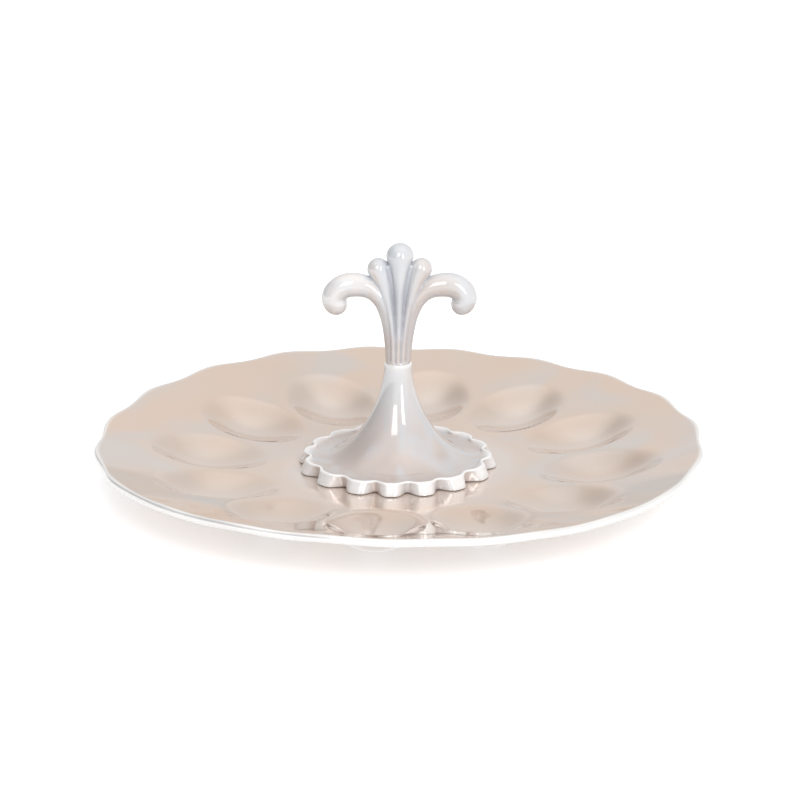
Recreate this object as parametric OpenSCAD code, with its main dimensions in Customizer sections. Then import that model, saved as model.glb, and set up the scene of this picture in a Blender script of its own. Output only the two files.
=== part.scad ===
/* [Dish] */
// Mean diameter of the dish at its rim
dish_d = 324; // [300:2:400]
// Height of the rim above the table
rim_h = 27.5; // [26:0.5:36]
// Height of the flat floor around the handle
floor_h = 10.5; // [10:0.5:12]
// Diameter of the flat floor
floor_d = 104; // [100:2:116]
// Thickness of the stoneware
dish_wall = 4.2; // [3.6:0.1:4.8]
// How the brim turns up: 1 is a cone and more is a bowl
brim_power = 1.8; // [1.2:0.1:2.4]
// How much of the wall's thickness the rim's edge rounds off
rim_edge_share = 0.3; // [0.1:0.05:0.45]
// How far the fired rim lifts at its front and back
rim_warp = 1.1; // [0:0.1:2]

/* [Scalloped rim] */
// Number of scallops around the rim
scallops = 20; // [12:1:24]
// How far a scallop stands out from the mean rim
scallop_out = 1; // [0:0.1:2]
// How far a scallop rises above the mean rim
scallop_up = 0.6; // [0:0.1:1.5]
// Width of the band of the brim that the scallops reach into
scallop_band = 35; // [15:1:50]
// Turn of the first scallop from the right of the dish
scallop_turn = 6.5; // [0:0.5:18]

/* [Egg wells] */
// Number of wells, each for half an egg
wells = 12; // [8:1:12]
// Distance of a well's middle from the dish's middle
well_ring_r = 106; // [100:1:112]
// Length of a well along the radius, from lip to lip
well_l = 68; // [60:1:72]
// Width of a well from lip to lip
well_w = 51; // [40:1:54]
// Depth of a well below the brim around it
well_depth = 8.8; // [5:0.1:9]
// How much of the brim's own rise the wells cut away, so that an egg lies level
well_level_share = 0.4; // [0:0.05:0.6]
// How steep the lips are: less is steeper
well_soft = 1.3; // [1.1:0.1:2]
// Turn of the first well from the right of the dish
well_turn = 22.5; // [0:0.5:30]

/* [Foot and hub] */
// Mean diameter of the foot ring
foot_d = 124; // [116:1:126]
// Width of the foot ring
foot_w = 6; // [4:0.5:8]
// Diameter of the raised seat that carries the handle
seat_d = 75; // [72:1:80]
// How far the seat stands above the floor, and below it
seat_rise = 0.4; // [0.2:0.1:0.8]
// Diameter of the hub's boss at its foot
boss_d = 34; // [30:0.5:36]
// Height of the boss above the floor
boss_rise = 9; // [6:0.5:11]
// Draft of the boss's wall
boss_draft = 1.5; // [0.5:0.1:2.5]
// Diameter of the recess for the nut under the boss
recess_d = 24; // [21:0.5:25]

/* [Handle base] */
// Height of the handle's base from its foot to its neck
base_h = 56.8; // [48:0.1:66]
// Diameter of the cone's foot
cone_foot_d = 76; // [74:0.5:80]
// Height of the cone's outer edge above its foot
cone_foot_h = 4.4; // [3.6:0.1:5]
// Diameter of the neck below its rounded shoulder
neck_d = 14.8; // [14:0.1:17]
// Thickness of the handle's hollow wall
base_wall = 4; // [3:0.1:4.4]
// Width of the cone's foot on the seat
cone_foot_w = 7; // [6:0.1:8]
// Height of the neck's rounded shoulder
shoulder_h = 3; // [2:0.5:5]
// How far the shoulder draws in at its top
shoulder_in = 0.5; // [0.2:0.1:0.8]
// How straight the cone leaves the neck
neck_pull = 32.5; // [26:0.5:38]
// How much the cone widens along that pull
neck_flare = 2.2; // [0:0.2:4]
// How flat the cone meets its foot
foot_pull = 5; // [2:0.5:10]

/* [Scalloped flange] */
// Number of lobes around the flange
lobes = 16; // [10:1:20]
// Mean diameter of the flange at its lip
lip_d = 98.2; // [94:0.2:101]
// How far a lobe stands out at the lip
lip_lobe = 1.5; // [0.5:0.1:2.5]
// Mean diameter of the flange at its lower edge
skirt_d = 100.2; // [98:0.1:103]
// How far a lobe stands out at the lower edge
skirt_lobe = 3.4; // [1:0.1:3.8]
// How broad the lobes are: 1 is a plain wave and more is broader, with narrower valleys
lobe_power = 2; // [1:0.1:2.5]
// How far the hand-cut lobes wander from an even spacing, in degrees
lobe_wander = 2; // [0:0.5:3]
// Phase of that wander
wander_turn = 26; // [0:1:119]
// Height of the flange's wall
lip_h = 6.4; // [5.6:0.1:7]
// Rounding of the lip
lip_round = 0.8; // [0.4:0.1:1.2]
// Gap between the flange and the dish's floor
skirt_gap = 0.6; // [0.5:0.1:1.2]
// Turn of the first lobe from the right
lobe_turn = -4.5; // [-11:0.5:11]

/* [Plume] */
// Diameter of the stem where it stands on the neck
stem_d = 14.2; // [13.4:0.1:16]
// Height of the middle lobe's ball above the neck
crest_rise = 57.8; // [48:0.2:64]
// Diameter of the middle ball
crest_d = 14.4; // [12:0.1:16]
// Height of a side ball above the neck
side_rise = 51.2; // [42:0.2:54]
// Distance of a side ball from the middle
side_reach = 11.3; // [10:0.1:14]
// Diameter of a side ball
side_d = 11.4; // [9:0.1:12.6]
// Height of an arm's crown above the neck
arm_rise = 42.6; // [34:0.2:46]
// Distance of an arm's outer bend from the middle
arm_reach = 34.2; // [30:0.2:40]
// Diameter of an arm
arm_d = 12.8; // [9:0.1:13.4]
// Height of the collar where the flutes end
collar_h = 1.6; // [1:0.1:3]
// Thickness of the web between the flutes
web_t = 7; // [4:0.2:9]

/* [Fixings] */
// Diameter of the threaded rod
rod_d = 6; // [5:0.1:6.4]
// Diameter of the holes that the rod passes
rod_hole_d = 7; // [6.6:0.1:8]
// Outer diameter of the threaded insert in the plume
insert_d = 9; // [8.6:0.1:9.6]
// Length of the insert
insert_l = 12.5; // [8:0.5:15]
// Thickness of the gasket under the handle
gasket_t = 0.5; // [0.3:0.1:1]
// Thickness of the washer in the neck's recess
neck_washer_t = 0.4; // [0.3:0.1:0.8]
// Diameter of that washer
neck_washer_d = 11; // [9:0.2:11.6]
// Gap that it leaves between the neck and the stem
joint_gap = 0.1; // [0.05:0.05:0.2]
// Diameter of the soft and the steel washer under the boss
washer_d = 20; // [17:0.5:20.5]
// Thickness of the soft washer
soft_washer_t = 1.5; // [1:0.1:2]
// Thickness of the steel washer
steel_washer_t = 1.6; // [1:0.1:2]
// Width of the nut across its flats
nut_w = 10; // [9:0.1:11]
// Height of the nut
nut_h = 5; // [4:0.1:5.5]
// How far the rod stands out below the nut
rod_tail = 1; // [0.5:0.1:1.2]

/* [Hidden] */
$fn = 96;

// Clearance of a screwed or glued part all round
fit_gap = 0.05;
// Clearance of a loose ring all round
ring_gap = 0.3;
// How far solids run into each other where they join
lap = 4;
// How far the flange runs into the cone's foot
flange_lap = 1.3;
// Angular steps round the dish, and rings across its floor, its wells and its brim
dish_steps = 120;
floor_rings = 3;
well_rings = 15;
brim_rings = 3;
// Angular steps for one lobe of the flange
lobe_steps = 8;
// Steps along the cone's curve and round its shoulder
cone_steps = 16;
shoulder_steps = 5;
// Sides of a flute, steps along it and steps of its round end
flute_sides = 16;
flute_steps = 9;
cap_steps = 4;

dish_r = dish_d / 2;
floor_r = floor_d / 2;
seat_r = seat_d / 2;
foot_r = foot_d / 2;
boss_r = boss_d / 2;
recess_r = recess_d / 2;
rod_r = rod_d / 2;
rod_hole_r = rod_hole_d / 2;
neck_r = neck_d / 2;
stem_r = stem_d / 2;
neck_washer_r = neck_washer_d / 2;
cone_foot_r = cone_foot_d / 2;
washer_r = washer_d / 2;
seat_z = floor_h + seat_rise;
under_z = floor_h - dish_wall - seat_rise;
recess_z = floor_h + boss_rise - dish_wall;
base_z = seat_z + gasket_t;
neck_z = base_z + base_h;
plume_z = neck_z + joint_gap;
skirt_z = floor_h + skirt_gap;
lip_z = skirt_z + lip_h;
skin_r = seat_r - lap;
flange_r = cone_foot_r - flange_lap;
nut_top_z = recess_z - soft_washer_t - steel_washer_t;
rod_low_z = nut_top_z - nut_h - rod_tail;

// Where each flute starts, as shares of the stem's radius: distance out, half width and half depth
crest_foot_shares = [0, 0.36, 0.99];
side_foot_shares = [0.38, 0.33, 0.9];
arm_foot_shares = [0.66, 0.34, 0.64];
// Height to which each flute runs straight up, as a share of its rise
crest_pull_share = 0.4;
side_pull_share = 0.44;
arm_pull_share = 0.64;
// The rest of each flute's control points, as shares of its reach and its rise
crest_bend_shares = [[0, 0.7], [0, 1]];
side_bend_shares = [[0.56, 0.76], [1, 1]];
arm_bend_shares = [[0.2, 1], [0.72, 1], [0.92, 1], [1.065, 0.87], [0.99, 0.765]];
// How late each flute swells: 1 is steadily
crest_swell = 5;
side_swell = 2.5;
arm_swell = 1;
// Radius of the plume's core, as a share of the stem's radius
core_share = 0.86;
// The web between the flutes, in shares of the arm's reach and the crest's rise
web_shares = [[0.17, 0], [0.2, 0.45], [0.3, 0.6], [0.47, 0.74], [0.34, 0.84], [0.18, 0.93], [0, 0.93]];

function limit(x) = min(max(x, 0), 1);
function mix(a, b, t) = a + (b - a) * t;

// Height of the brim without its wells and scallops
function brim_share(r) = max(0, (r - floor_r) / (dish_r - floor_r));
function brim_z(r) = mix(floor_h, rim_h, pow(brim_share(r), brim_power));

// A scallop's wave, and how much of it is left at a radius
function wave(a) = cos(scallops * (a - scallop_turn));
function wave_share(r) = pow(limit((r - dish_r + scallop_band) / scallop_band), 2);
function warp(r, a) = rim_warp * pow(r / dish_r, 2) * (cos(3 * a) - cos(2 * a) + 0.5 * sin(3 * a));

// How far a point lies below the brim in the nearest well
function well_off(a) = (a - well_turn) - 360 / wells * round((a - well_turn) / (360 / wells));
function well_rho(r, d) = norm([
    (r * cos(d) - well_ring_r) / (well_l / 2),
    r * sin(d) / (well_w / 2)]);
function well_depth_at(r) = well_depth + well_level_share * (brim_z(r) - brim_z(well_ring_r));
function well_cut(r, a) = well_depth_at(r) * pow(1 - pow(min(well_rho(r, well_off(a)), 1), 2), well_soft);

function top_z(r, a) = brim_z(r) - well_cut(r, a) + warp(r, a) + scallop_up * wave(a) * wave_share(r);
function rim_r(a) = dish_r + scallop_out * wave(a);

function polar(r, a, z) = [r * cos(a), r * sin(a), z];

// Joins rings of points into a skin, and the last ring back to the first when it is a loop
function skin_faces(rings, n, looped) = [
    for (i = [0:rings - (looped ? 1 : 2)]) for (j = [0:n - 1])
        let (a = i * n, b = ((i + 1) % rings) * n, k = (j + 1) % n)
        each [[a + j, b + j, b + k], [a + j, b + k, a + k]]];

// Turns a section that changes with the angle once round the axis
module turned(sections, angles) {
    n = len(angles);
    rings = len(sections[0]);
    points = [for (i = [0:rings - 1]) for (j = [0:n - 1])
        polar(sections[j][i][0], angles[j], sections[j][i][1])];
    polyhedron(points, skin_faces(rings, n, true), convexity = 6);
}

// The dish's section at one angle: underside from the hub outwards, rim edge, and top back
function dish_section(a) = let (
    r1 = rim_r(a),
    e = dish_wall * rim_edge_share,
    z1 = top_z(r1 - e, a),
    radii = concat(
        [for (i = [0:floor_rings - 1]) mix(skin_r, well_ring_r - well_l / 2, i / floor_rings)],
        [for (i = [0:well_rings - 1]) well_ring_r + well_l * (i / well_rings - 0.5)],
        [for (i = [0:brim_rings]) mix(well_ring_r + well_l / 2, r1 - e, i / brim_rings)]),
    top = [for (r = radii) [r, top_z(r, a)]],
    under = [for (p = top) p - [0, dish_wall]],
    back = [for (i = [len(top) - 1:-1:0]) top[i]])
        concat(under, [[r1, z1 - dish_wall + e], [r1, z1 - e]], back);

module dish_skin() {
    angles = [for (j = [0:dish_steps - 1]) well_turn + 360 * j / dish_steps];
    turned([for (a = angles) dish_section(a)], angles);
}

// The hub: a raised seat, a hollow boss, and the hole for the rod
module dish_hub() {
    rotate_extrude() polygon([
        [rod_hole_r, recess_z],
        [recess_r, recess_z],
        [recess_r, under_z],
        [seat_r, under_z],
        [seat_r, seat_z],
        [boss_r, seat_z],
        [boss_r - boss_draft, floor_h + boss_rise],
        [rod_hole_r, floor_h + boss_rise]]);
}

module foot_ring() {
    rotate_extrude() polygon([
        [foot_r - foot_w / 2, 0],
        [foot_r + foot_w / 2, 0],
        [foot_r + foot_w / 2, floor_h - dish_wall / 2],
        [foot_r - foot_w / 2, floor_h - dish_wall / 2]]);
}

module dish() {
    color("#e3d2c8") union() {
        dish_skin();
        dish_hub();
        foot_ring();
    }
}

// A point and a direction on a cubic curve through four control points
function curve(p, t) = pow(1 - t, 3) * p[0] + 3 * t * pow(1 - t, 2) * p[1]
    + 3 * t * t * (1 - t) * p[2] + pow(t, 3) * p[3];
function slope(p, t) = 3 * pow(1 - t, 2) * (p[1] - p[0]) + 6 * t * (1 - t) * (p[2] - p[1])
    + 3 * t * t * (p[3] - p[2]);
function unit(v) = v / norm(v);

// The cone's outline from the shoulder down to its foot
cone_curve = [
    [neck_r, neck_z - shoulder_h],
    [neck_r + neck_flare, neck_z - shoulder_h - neck_pull],
    [cone_foot_r - foot_pull, base_z + cone_foot_h],
    [cone_foot_r, base_z + cone_foot_h]];
hollow_r = cone_foot_r - cone_foot_w;
cone_outside = [for (i = [cone_steps:-1:0]) curve(cone_curve, i / cone_steps)];
cone_inside = [for (i = [0:cone_steps])
    let (t = i / cone_steps, d = unit(slope(cone_curve, t)))
        curve(cone_curve, t) + base_wall * [d[1], -d[0]]];
hollow_line = [for (p = cone_inside) if (p[0] > rod_hole_r + fit_gap && p[0] < hollow_r) p];

module cone() {
    rotate_extrude() polygon(concat(
        [[hollow_r, base_z], [cone_foot_r, base_z]],
        cone_outside,
        [for (i = [1:shoulder_steps])
            let (t = 90 * i / shoulder_steps)
                [neck_r - shoulder_in * (1 - cos(t)), neck_z - shoulder_h * (1 - sin(t))]],
        [[neck_washer_r + ring_gap, neck_z],
            [neck_washer_r + ring_gap, plume_z - neck_washer_t],
            [rod_hole_r, plume_z - neck_washer_t],
            [rod_hole_r, hollow_line[0][1]]],
        hollow_line,
        [[hollow_r, hollow_line[len(hollow_line) - 1][1]]]));
}

// The flange's section at one angle: its lobes flare from the lip to the lower edge
function lobe_turn_at(a) = lobe_turn + lobe_wander * sin(3 * (a + wander_turn));
function lobe_wave(a) = 1 - 2 * pow((1 - cos(lobes * (a - lobe_turn_at(a)))) / 2, lobe_power);
function flange_section(a) = let (
    rs = skirt_d / 2 + skirt_lobe * lobe_wave(a),
    rl = lip_d / 2 + lip_lobe * lobe_wave(a),
    plate_z = base_z + cone_foot_h - ring_gap) [
        [flange_r, skirt_z],
        [rs, skirt_z],
        [rl, lip_z - lip_round],
        [rl - lip_round, lip_z],
        [cone_foot_r + lap / 2, plate_z],
        [flange_r, plate_z]];

module flange() {
    n = lobes * lobe_steps;
    angles = [for (j = [0:n - 1]) 360 * j / n];
    turned([for (a = angles) flange_section(a)], angles);
}

module handle_base() {
    color("#e6e2e4") union() {
        cone();
        flange();
    }
}

// A flute's control points, from the collar up
function flute_path(foot, pull, bend, reach, rise) = concat(
    [[foot[0] * stem_r, plume_z + collar_h / 2], [foot[0] * stem_r, plume_z + pull * rise]],
    [for (b = bend) [b[0] * reach, plume_z + b[1] * rise]]);

// An oval ring across a flute, at a point of its path with the direction d
function flute_ring(p, d, across, deep) = [for (s = [0:flute_sides - 1])
    let (a = 360 * s / flute_sides)
    [p[0] + across * cos(a) * d[1], deep * sin(a), p[1] - across * cos(a) * d[0]]];

// A flute: an oval tube along its path that swells to a round end
module flute(path, foot, end_r, swell) {
    segments = (len(path) - 1) / 3;
    body = [for (s = [0:segments - 1]) for (i = [(s == 0 ? 0 : 1):flute_steps])
        let (
            q = [for (k = [0:3]) path[3 * s + k]],
            t = i / flute_steps,
            w = s == 0 ? t : 1)
        flute_ring(curve(q, t), unit(slope(q, t)),
            mix(foot[1] * stem_r, end_r, pow(w, swell)), mix(foot[2] * stem_r, end_r, w))];
    last = [for (k = [0:3]) path[3 * (segments - 1) + k]];
    d = unit(slope(last, 1));
    cap = [for (c = [1:cap_steps - 1])
        let (a = 90 * c / cap_steps)
        flute_ring(last[3] + end_r * sin(a) * d, d, end_r * cos(a), end_r * cos(a))];
    rings = concat(body, cap);
    n = flute_sides;
    tip = last[3] + end_r * d;
    end = (len(rings) - 1) * n;
    points = concat([for (r = rings) each r], [[tip[0], 0, tip[1]]]);
    faces = concat(
        [[for (j = [0:n - 1]) j]],
        skin_faces(len(rings), n, false),
        [for (j = [0:n - 1]) [end + j, len(points) - 1, end + (j + 1) % n]]);
    polyhedron(points, faces, convexity = 6);
}

module crest() {
    path = flute_path(crest_foot_shares, crest_pull_share, crest_bend_shares, crest_d, crest_rise);
    flute(path, crest_foot_shares, crest_d / 2, crest_swell);
}

module side_lobe() {
    path = flute_path(side_foot_shares, side_pull_share, side_bend_shares, side_reach, side_rise);
    flute(path, side_foot_shares, side_d / 2, side_swell);
}

module arm() {
    path = flute_path(arm_foot_shares, arm_pull_share, arm_bend_shares, arm_reach, arm_rise);
    flute(path, arm_foot_shares, arm_d / 2, arm_swell);
}

module web() {
    right = [for (p = web_shares) [p[0] * arm_reach, p[1] * crest_rise]];
    left = [for (i = [len(right) - 2:-1:0]) [-right[i][0], right[i][1]]];
    translate([0, web_t / 2, plume_z]) rotate([90, 0, 0])
        linear_extrude(web_t) polygon(concat(right, left));
}

module handle_plume() {
    bore_h = insert_l + ring_gap;
    color("#e4e2e8") difference() {
        union() {
            crest();
            side_lobe();
            mirror([1, 0, 0]) side_lobe();
            arm();
            mirror([1, 0, 0]) arm();
            web();
            translate([0, 0, plume_z]) cylinder(r = stem_r, h = collar_h);
            translate([0, 0, plume_z]) cylinder(r = core_share * stem_r, h = bore_h + base_wall);
        }
        translate([0, 0, plume_z - lap]) cylinder(r = insert_d / 2 + fit_gap, h = lap + bore_h);
    }
}

// A flat ring with its lower face at a height
module ring(outer_r, inner_r, low_z, thick) {
    translate([0, 0, low_z]) difference() {
        cylinder(r = outer_r, h = thick);
        translate([0, 0, -lap]) cylinder(r = inner_r, h = thick + 2 * lap);
    }
}

module thread_insert() {
    color("#c9a648") ring(insert_d / 2, rod_r + fit_gap, plume_z, insert_l);
}

module tie_rod() {
    color("#b9bcc0") translate([0, 0, rod_low_z]) cylinder(r = rod_r, h = plume_z + insert_l - rod_low_z);
}

module base_gasket() {
    color("#d9d9d6") ring(flange_r - ring_gap, hollow_r, seat_z, gasket_t);
}

module neck_washer() {
    color("#d9d9d6") ring(neck_washer_r, rod_hole_r, plume_z - neck_washer_t, neck_washer_t);
}

module soft_washer() {
    color("#3a3a3a") ring(washer_r, rod_r + fit_gap, recess_z - soft_washer_t, soft_washer_t);
}

module steel_washer() {
    color("#b9bcc0") ring(washer_r, rod_r + fit_gap, nut_top_z, steel_washer_t);
}

module nut() {
    color("#b9bcc0") translate([0, 0, nut_top_z - nut_h]) difference() {
        cylinder(d = nut_w / cos(30), h = nut_h, $fn = 6);
        translate([0, 0, -lap]) cylinder(r = rod_r + fit_gap, h = nut_h + 2 * lap);
    }
}

dish();
handle_base();
handle_plume();
thread_insert();
tie_rod();
base_gasket();
neck_washer();
soft_washer();
steel_washer();
nut();
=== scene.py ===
# %% [markdown]
# # A glazed egg platter with a plume handle
#
# The object is a round stoneware platter with a pearl lustre glaze. Twelve wells for half eggs lie
# around a hollow handle, which ends in a fluted plume. The frame brings in the measured solids, and
# each cell below makes one visible piece or one finish over them. The measures of the pieces are in
# millimetres, and MM turns them into Blender's metres.

# %% Frame and values that every piece shares
import bpy
import math
import numpy as np
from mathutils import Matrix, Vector


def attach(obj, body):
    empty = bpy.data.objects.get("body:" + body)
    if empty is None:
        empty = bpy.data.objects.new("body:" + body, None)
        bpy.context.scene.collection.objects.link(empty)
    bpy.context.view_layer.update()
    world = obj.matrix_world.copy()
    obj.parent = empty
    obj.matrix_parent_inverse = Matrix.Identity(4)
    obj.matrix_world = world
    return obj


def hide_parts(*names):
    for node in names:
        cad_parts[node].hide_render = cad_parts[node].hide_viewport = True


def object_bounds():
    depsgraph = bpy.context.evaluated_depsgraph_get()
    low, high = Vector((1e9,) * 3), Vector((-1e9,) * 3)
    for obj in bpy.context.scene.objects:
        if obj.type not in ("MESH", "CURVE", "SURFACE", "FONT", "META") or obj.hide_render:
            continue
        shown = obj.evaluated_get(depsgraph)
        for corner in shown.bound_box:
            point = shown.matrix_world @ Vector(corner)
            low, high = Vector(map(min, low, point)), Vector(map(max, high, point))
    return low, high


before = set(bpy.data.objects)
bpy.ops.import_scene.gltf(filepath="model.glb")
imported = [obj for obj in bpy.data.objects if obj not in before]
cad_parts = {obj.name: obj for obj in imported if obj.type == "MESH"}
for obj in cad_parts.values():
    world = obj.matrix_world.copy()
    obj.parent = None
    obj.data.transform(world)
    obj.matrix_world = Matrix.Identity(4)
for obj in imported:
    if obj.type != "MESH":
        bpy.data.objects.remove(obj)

MM = 0.001
cad_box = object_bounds()
scene = bpy.context.scene
print("solids in the frame:", len(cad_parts))

# %% [markdown]
# ## The camera
#
# The photograph looks down on the platter from 18.7 degrees, from about a metre and a half away,
# through a long lens. A camera can be placed by eye, but the ellipse of the rim gives its angle and
# its distance, so here they are numbers. The small shift puts the middle of the rim where the
# photograph has it.

# %% Camera
RIM_H = 27.5
VIEW_UP = math.radians(18.66)
VIEW_AWAY = 1458

bpy.ops.object.camera_add(rotation=(math.pi / 2 - VIEW_UP, 0, 0))
camera = bpy.context.object
camera.location = (0, -VIEW_AWAY * math.cos(VIEW_UP) * MM, (RIM_H + VIEW_AWAY * math.sin(VIEW_UP)) * MM)
camera.data.lens = 122.3
camera.data.sensor_width = 36
camera.data.shift_x = 0.0009
camera.data.shift_y = 0.0431
camera.data.clip_end = 50
scene.camera = camera
print("camera height in mm:", round(camera.location.z / MM))

# %% [markdown]
# ## The dish
#
# The real dish is cast in a mould and its wall is the same all over, so the wells that are pressed
# into the top show underneath as bumps. A flat grid with Solidify could make it, but its rim would
# have to be trimmed round. Here the whole wall starts as one closed section, which is spun round
# the axis like clay on a wheel. First come its measures and the curve of its brim.

# %% Measures of the dish and the curve of its brim
DISH_R, WALL = 162, 4.2
FLOOR_R, FLOOR_H = 52, 10.5
BRIM_POWER = 1.8
SEAT_R, SEAT_Z = 37.5, 10.9
HUB_MID_R, UNDER_Z = 26, 5.9
RECESS_R, RECESS_Z = 12, 15.3
BOSS_R, BOSS_TOP_R, BOSS_Z = 17, 15.5, 19.5
BORE_R = 3.5
FOOT_IN, FOOT_OUT = 59, 65


def brim_z(r):
    """Height of the brim at a radius, before it gets its wells and scallops."""
    share = np.maximum(0, (np.asarray(r, float) - FLOOR_R) / (DISH_R - FLOOR_R))
    return FLOOR_H + (RIM_H - FLOOR_H) * share ** BRIM_POWER


print("the brim rises by, in mm:", round(float(brim_z(DISH_R)) - FLOOR_H, 1))

# %% [markdown]
# A section is a closed outline of half the piece, in the XZ plane. It starts as a circle, whose
# points are then laid onto the outline, so there is one point for each place. Operators act on
# whatever is selected, so each step starts with nothing selected.

# %% Helpers that draw a section and spin it
def pick(thing):
    """Selects one object alone and makes it active."""
    bpy.ops.object.select_all(action="DESELECT")
    thing.select_set(True)
    bpy.context.view_layer.objects.active = thing


def lay_section(name, points):
    """A circle with one vertex per point, laid onto a section in the XZ plane."""
    bpy.ops.object.select_all(action="DESELECT")
    bpy.ops.mesh.primitive_circle_add(vertices=len(points), radius=MM, fill_type="NOTHING")
    loop = bpy.context.object
    loop.name = name
    for vertex, (r, z) in zip(loop.data.vertices, points):
        vertex.co = (r * MM, 0, z * MM)
    return loop


def round_corners(loop, corners, radius):
    """Bevels the section's corners at these places."""
    pick(loop)
    for vertex in loop.data.vertices:
        vertex.select = any(
            abs(vertex.co.x / MM - r) < 0.01 and abs(vertex.co.z / MM - z) < 0.01 for r, z in corners)
    for edge in loop.data.edges:
        edge.select = False
    bpy.ops.object.mode_set(mode="EDIT")
    bpy.ops.mesh.select_mode(type="VERT")
    bpy.ops.mesh.bevel(offset=radius * MM, segments=4, affect="VERTICES", clamp_overlap=True)
    bpy.ops.object.mode_set(mode="OBJECT")


def spin_round(loop, steps):
    """Spins a closed section once round the upright axis and closes the seam."""
    pick(loop)
    bpy.ops.object.mode_set(mode="EDIT")
    bpy.ops.mesh.select_all(action="SELECT")
    bpy.ops.mesh.spin(steps=steps, angle=2 * math.pi, center=(0, 0, 0), axis=(0, 0, 1))
    bpy.ops.mesh.select_all(action="SELECT")
    bpy.ops.mesh.remove_doubles(threshold=0.002 * MM)
    bpy.ops.mesh.normals_make_consistent(inside=False)
    bpy.ops.object.mode_set(mode="OBJECT")


def report(thing):
    """Prints how many triangles a piece has."""
    thing.data.calc_loop_triangles()
    print(thing.name, "triangles:", len(thing.data.loop_triangles))


# %% [markdown]
# The outline of the dish runs from the hub out over the top, round the rim, and back under the
# wall to the foot ring and the nut's recess. Its points lie close together where the wells will be
# pressed in, because each point becomes a ring.

# %% Section of the dish, spun into a wall
RIM_IN = 1.4
RIM_ROUND = [(-0.45, -0.35), (0, -1.15), (0.05, -WALL / 2), (-0.1, 1.2 - WALL), (-0.55, 0.4 - WALL)]
WELLS_FROM, WELLS_TO = 66, 146
UNDER_FROM, UNDER_TO = 68, 142

top_radii = np.concatenate([np.linspace(SEAT_R + 1, WELLS_FROM, 12)[:-1],
                            np.linspace(WELLS_FROM, WELLS_TO, 92)[:-1],
                            np.linspace(WELLS_TO, DISH_R - RIM_IN, 12)])
low_radii = np.concatenate([np.linspace(DISH_R - RIM_IN, UNDER_TO, 7)[:-1],
                            np.linspace(UNDER_TO, UNDER_FROM, 30)])
rim_z = float(brim_z(DISH_R - RIM_IN))
hub_line = [(BORE_R, BOSS_Z), (BOSS_TOP_R, BOSS_Z), (BOSS_R, SEAT_Z), (HUB_MID_R, SEAT_Z), (SEAT_R, SEAT_Z)]
top_line = [(r, float(brim_z(r))) for r in top_radii]
rim_line = [(DISH_R + out, rim_z + up) for out, up in RIM_ROUND]
low_line = [(r, float(brim_z(r)) - WALL) for r in low_radii]
foot_line = [(FOOT_OUT, FLOOR_H - WALL), (FOOT_OUT, 0), (FOOT_IN, 0), (FOOT_IN, FLOOR_H - WALL)]
recess_line = [(SEAT_R + 4, FLOOR_H - WALL), (SEAT_R, UNDER_Z), (HUB_MID_R, UNDER_Z),
               (RECESS_R, UNDER_Z), (RECESS_R, RECESS_Z), (BORE_R, RECESS_Z)]
dish = lay_section("dish_glazed", hub_line + top_line + rim_line + low_line + foot_line + recess_line)
round_corners(dish, [(FOOT_OUT, 0), (FOOT_IN, 0)], radius=1.6)
round_corners(dish, [(FOOT_OUT, FLOOR_H - WALL), (FOOT_IN, FLOOR_H - WALL)], radius=1.8)
round_corners(dish, [(RECESS_R, UNDER_Z), (BOSS_TOP_R, BOSS_Z), (BOSS_R, SEAT_Z)], radius=1.2)
round_corners(dish, [(RECESS_R, RECESS_Z)], radius=0.8)
spin_round(dish, steps=432)
report(dish)

# %% [markdown]
# ## The wells
#
# Each well is an oval hollow with a soft lip, and all twelve are alike. They could be pushed in one
# by one, but one formula gives their depth at any place of the dish. That depth becomes the weight
# of a vertex group, and a Displace modifier presses both faces of the wall down by it. The ring of
# wells lies a little off the middle, and outwards the wells get deeper as the brim gets higher.

# %% Formula of the wells
WELLS, WELL_TURN, WELL_RING_R = 12, 22.5, 106
WELL_OFF = (2, -2.5)
WELL_L, WELL_W, WELL_DEPTH = 68, 51, 8.8
WELL_LEVEL = 0.4
WELL_SOFT, WELL_SOFTER = 1.3, 0.5
LIP_SOFT = 0.12
FADE_IN, FADE_OUT = (60, 68), (DISH_R - 4, DISH_R - 16)


def ramp(values, start, end):
    """0 up to the start, 1 from the end on, straight between them. The start may be the higher one."""
    return np.clip((values - start) / (end - start), 0, 1)


def well_share(x, y):
    """How far into the nearest well a place lies: about 0 outside its soft lip, 1 in its middle."""
    x, y = x - WELL_OFF[0], y - WELL_OFF[1]
    r = np.hypot(x, y)
    step = 360 / WELLS
    off = np.radians((np.degrees(np.arctan2(y, x)) - WELL_TURN + step / 2) % step - step / 2)
    along = (r * np.cos(off) - WELL_RING_R) / (WELL_L / 2)
    across = r * np.sin(off) / (WELL_W / 2)
    share = 1 - along ** 2 - across ** 2
    return (share + np.sqrt(share ** 2 + LIP_SOFT ** 2)) / 2


def well_depth(x, y):
    """How far the wall is pressed down at a place. Outwards the wells are deeper and softer."""
    r = np.hypot(x, y)
    depth = WELL_DEPTH + WELL_LEVEL * (brim_z(r) - brim_z(WELL_RING_R))
    soft = WELL_SOFT + WELL_SOFTER * ramp(r, WELL_RING_R, WELL_RING_R + WELL_L / 2)
    return depth * ramp(r, *FADE_IN) * ramp(r, *FADE_OUT) * well_share(x, y) ** soft


print("wells:", WELLS, "on a ring of radius in mm:", WELL_RING_R)

# %% [markdown]
# The next helpers read the points of a piece as an array, put them back, store a number on each
# point for a material to read, and apply a modifier for good. The first such number is the slope of
# the wells, measured over half a millimetre, which paints shade on their steep sides.

# %% Helpers for points, masks and modifiers
def points_of(thing):
    """The vertices as an array, in millimetres."""
    flat = np.empty(len(thing.data.vertices) * 3)
    thing.data.vertices.foreach_get("co", flat)
    return flat.reshape(-1, 3) / MM


def move_points(thing, points):
    """Puts the vertices at these places, in millimetres."""
    thing.data.vertices.foreach_set("co", (points * MM).ravel())
    thing.data.update()


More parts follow.
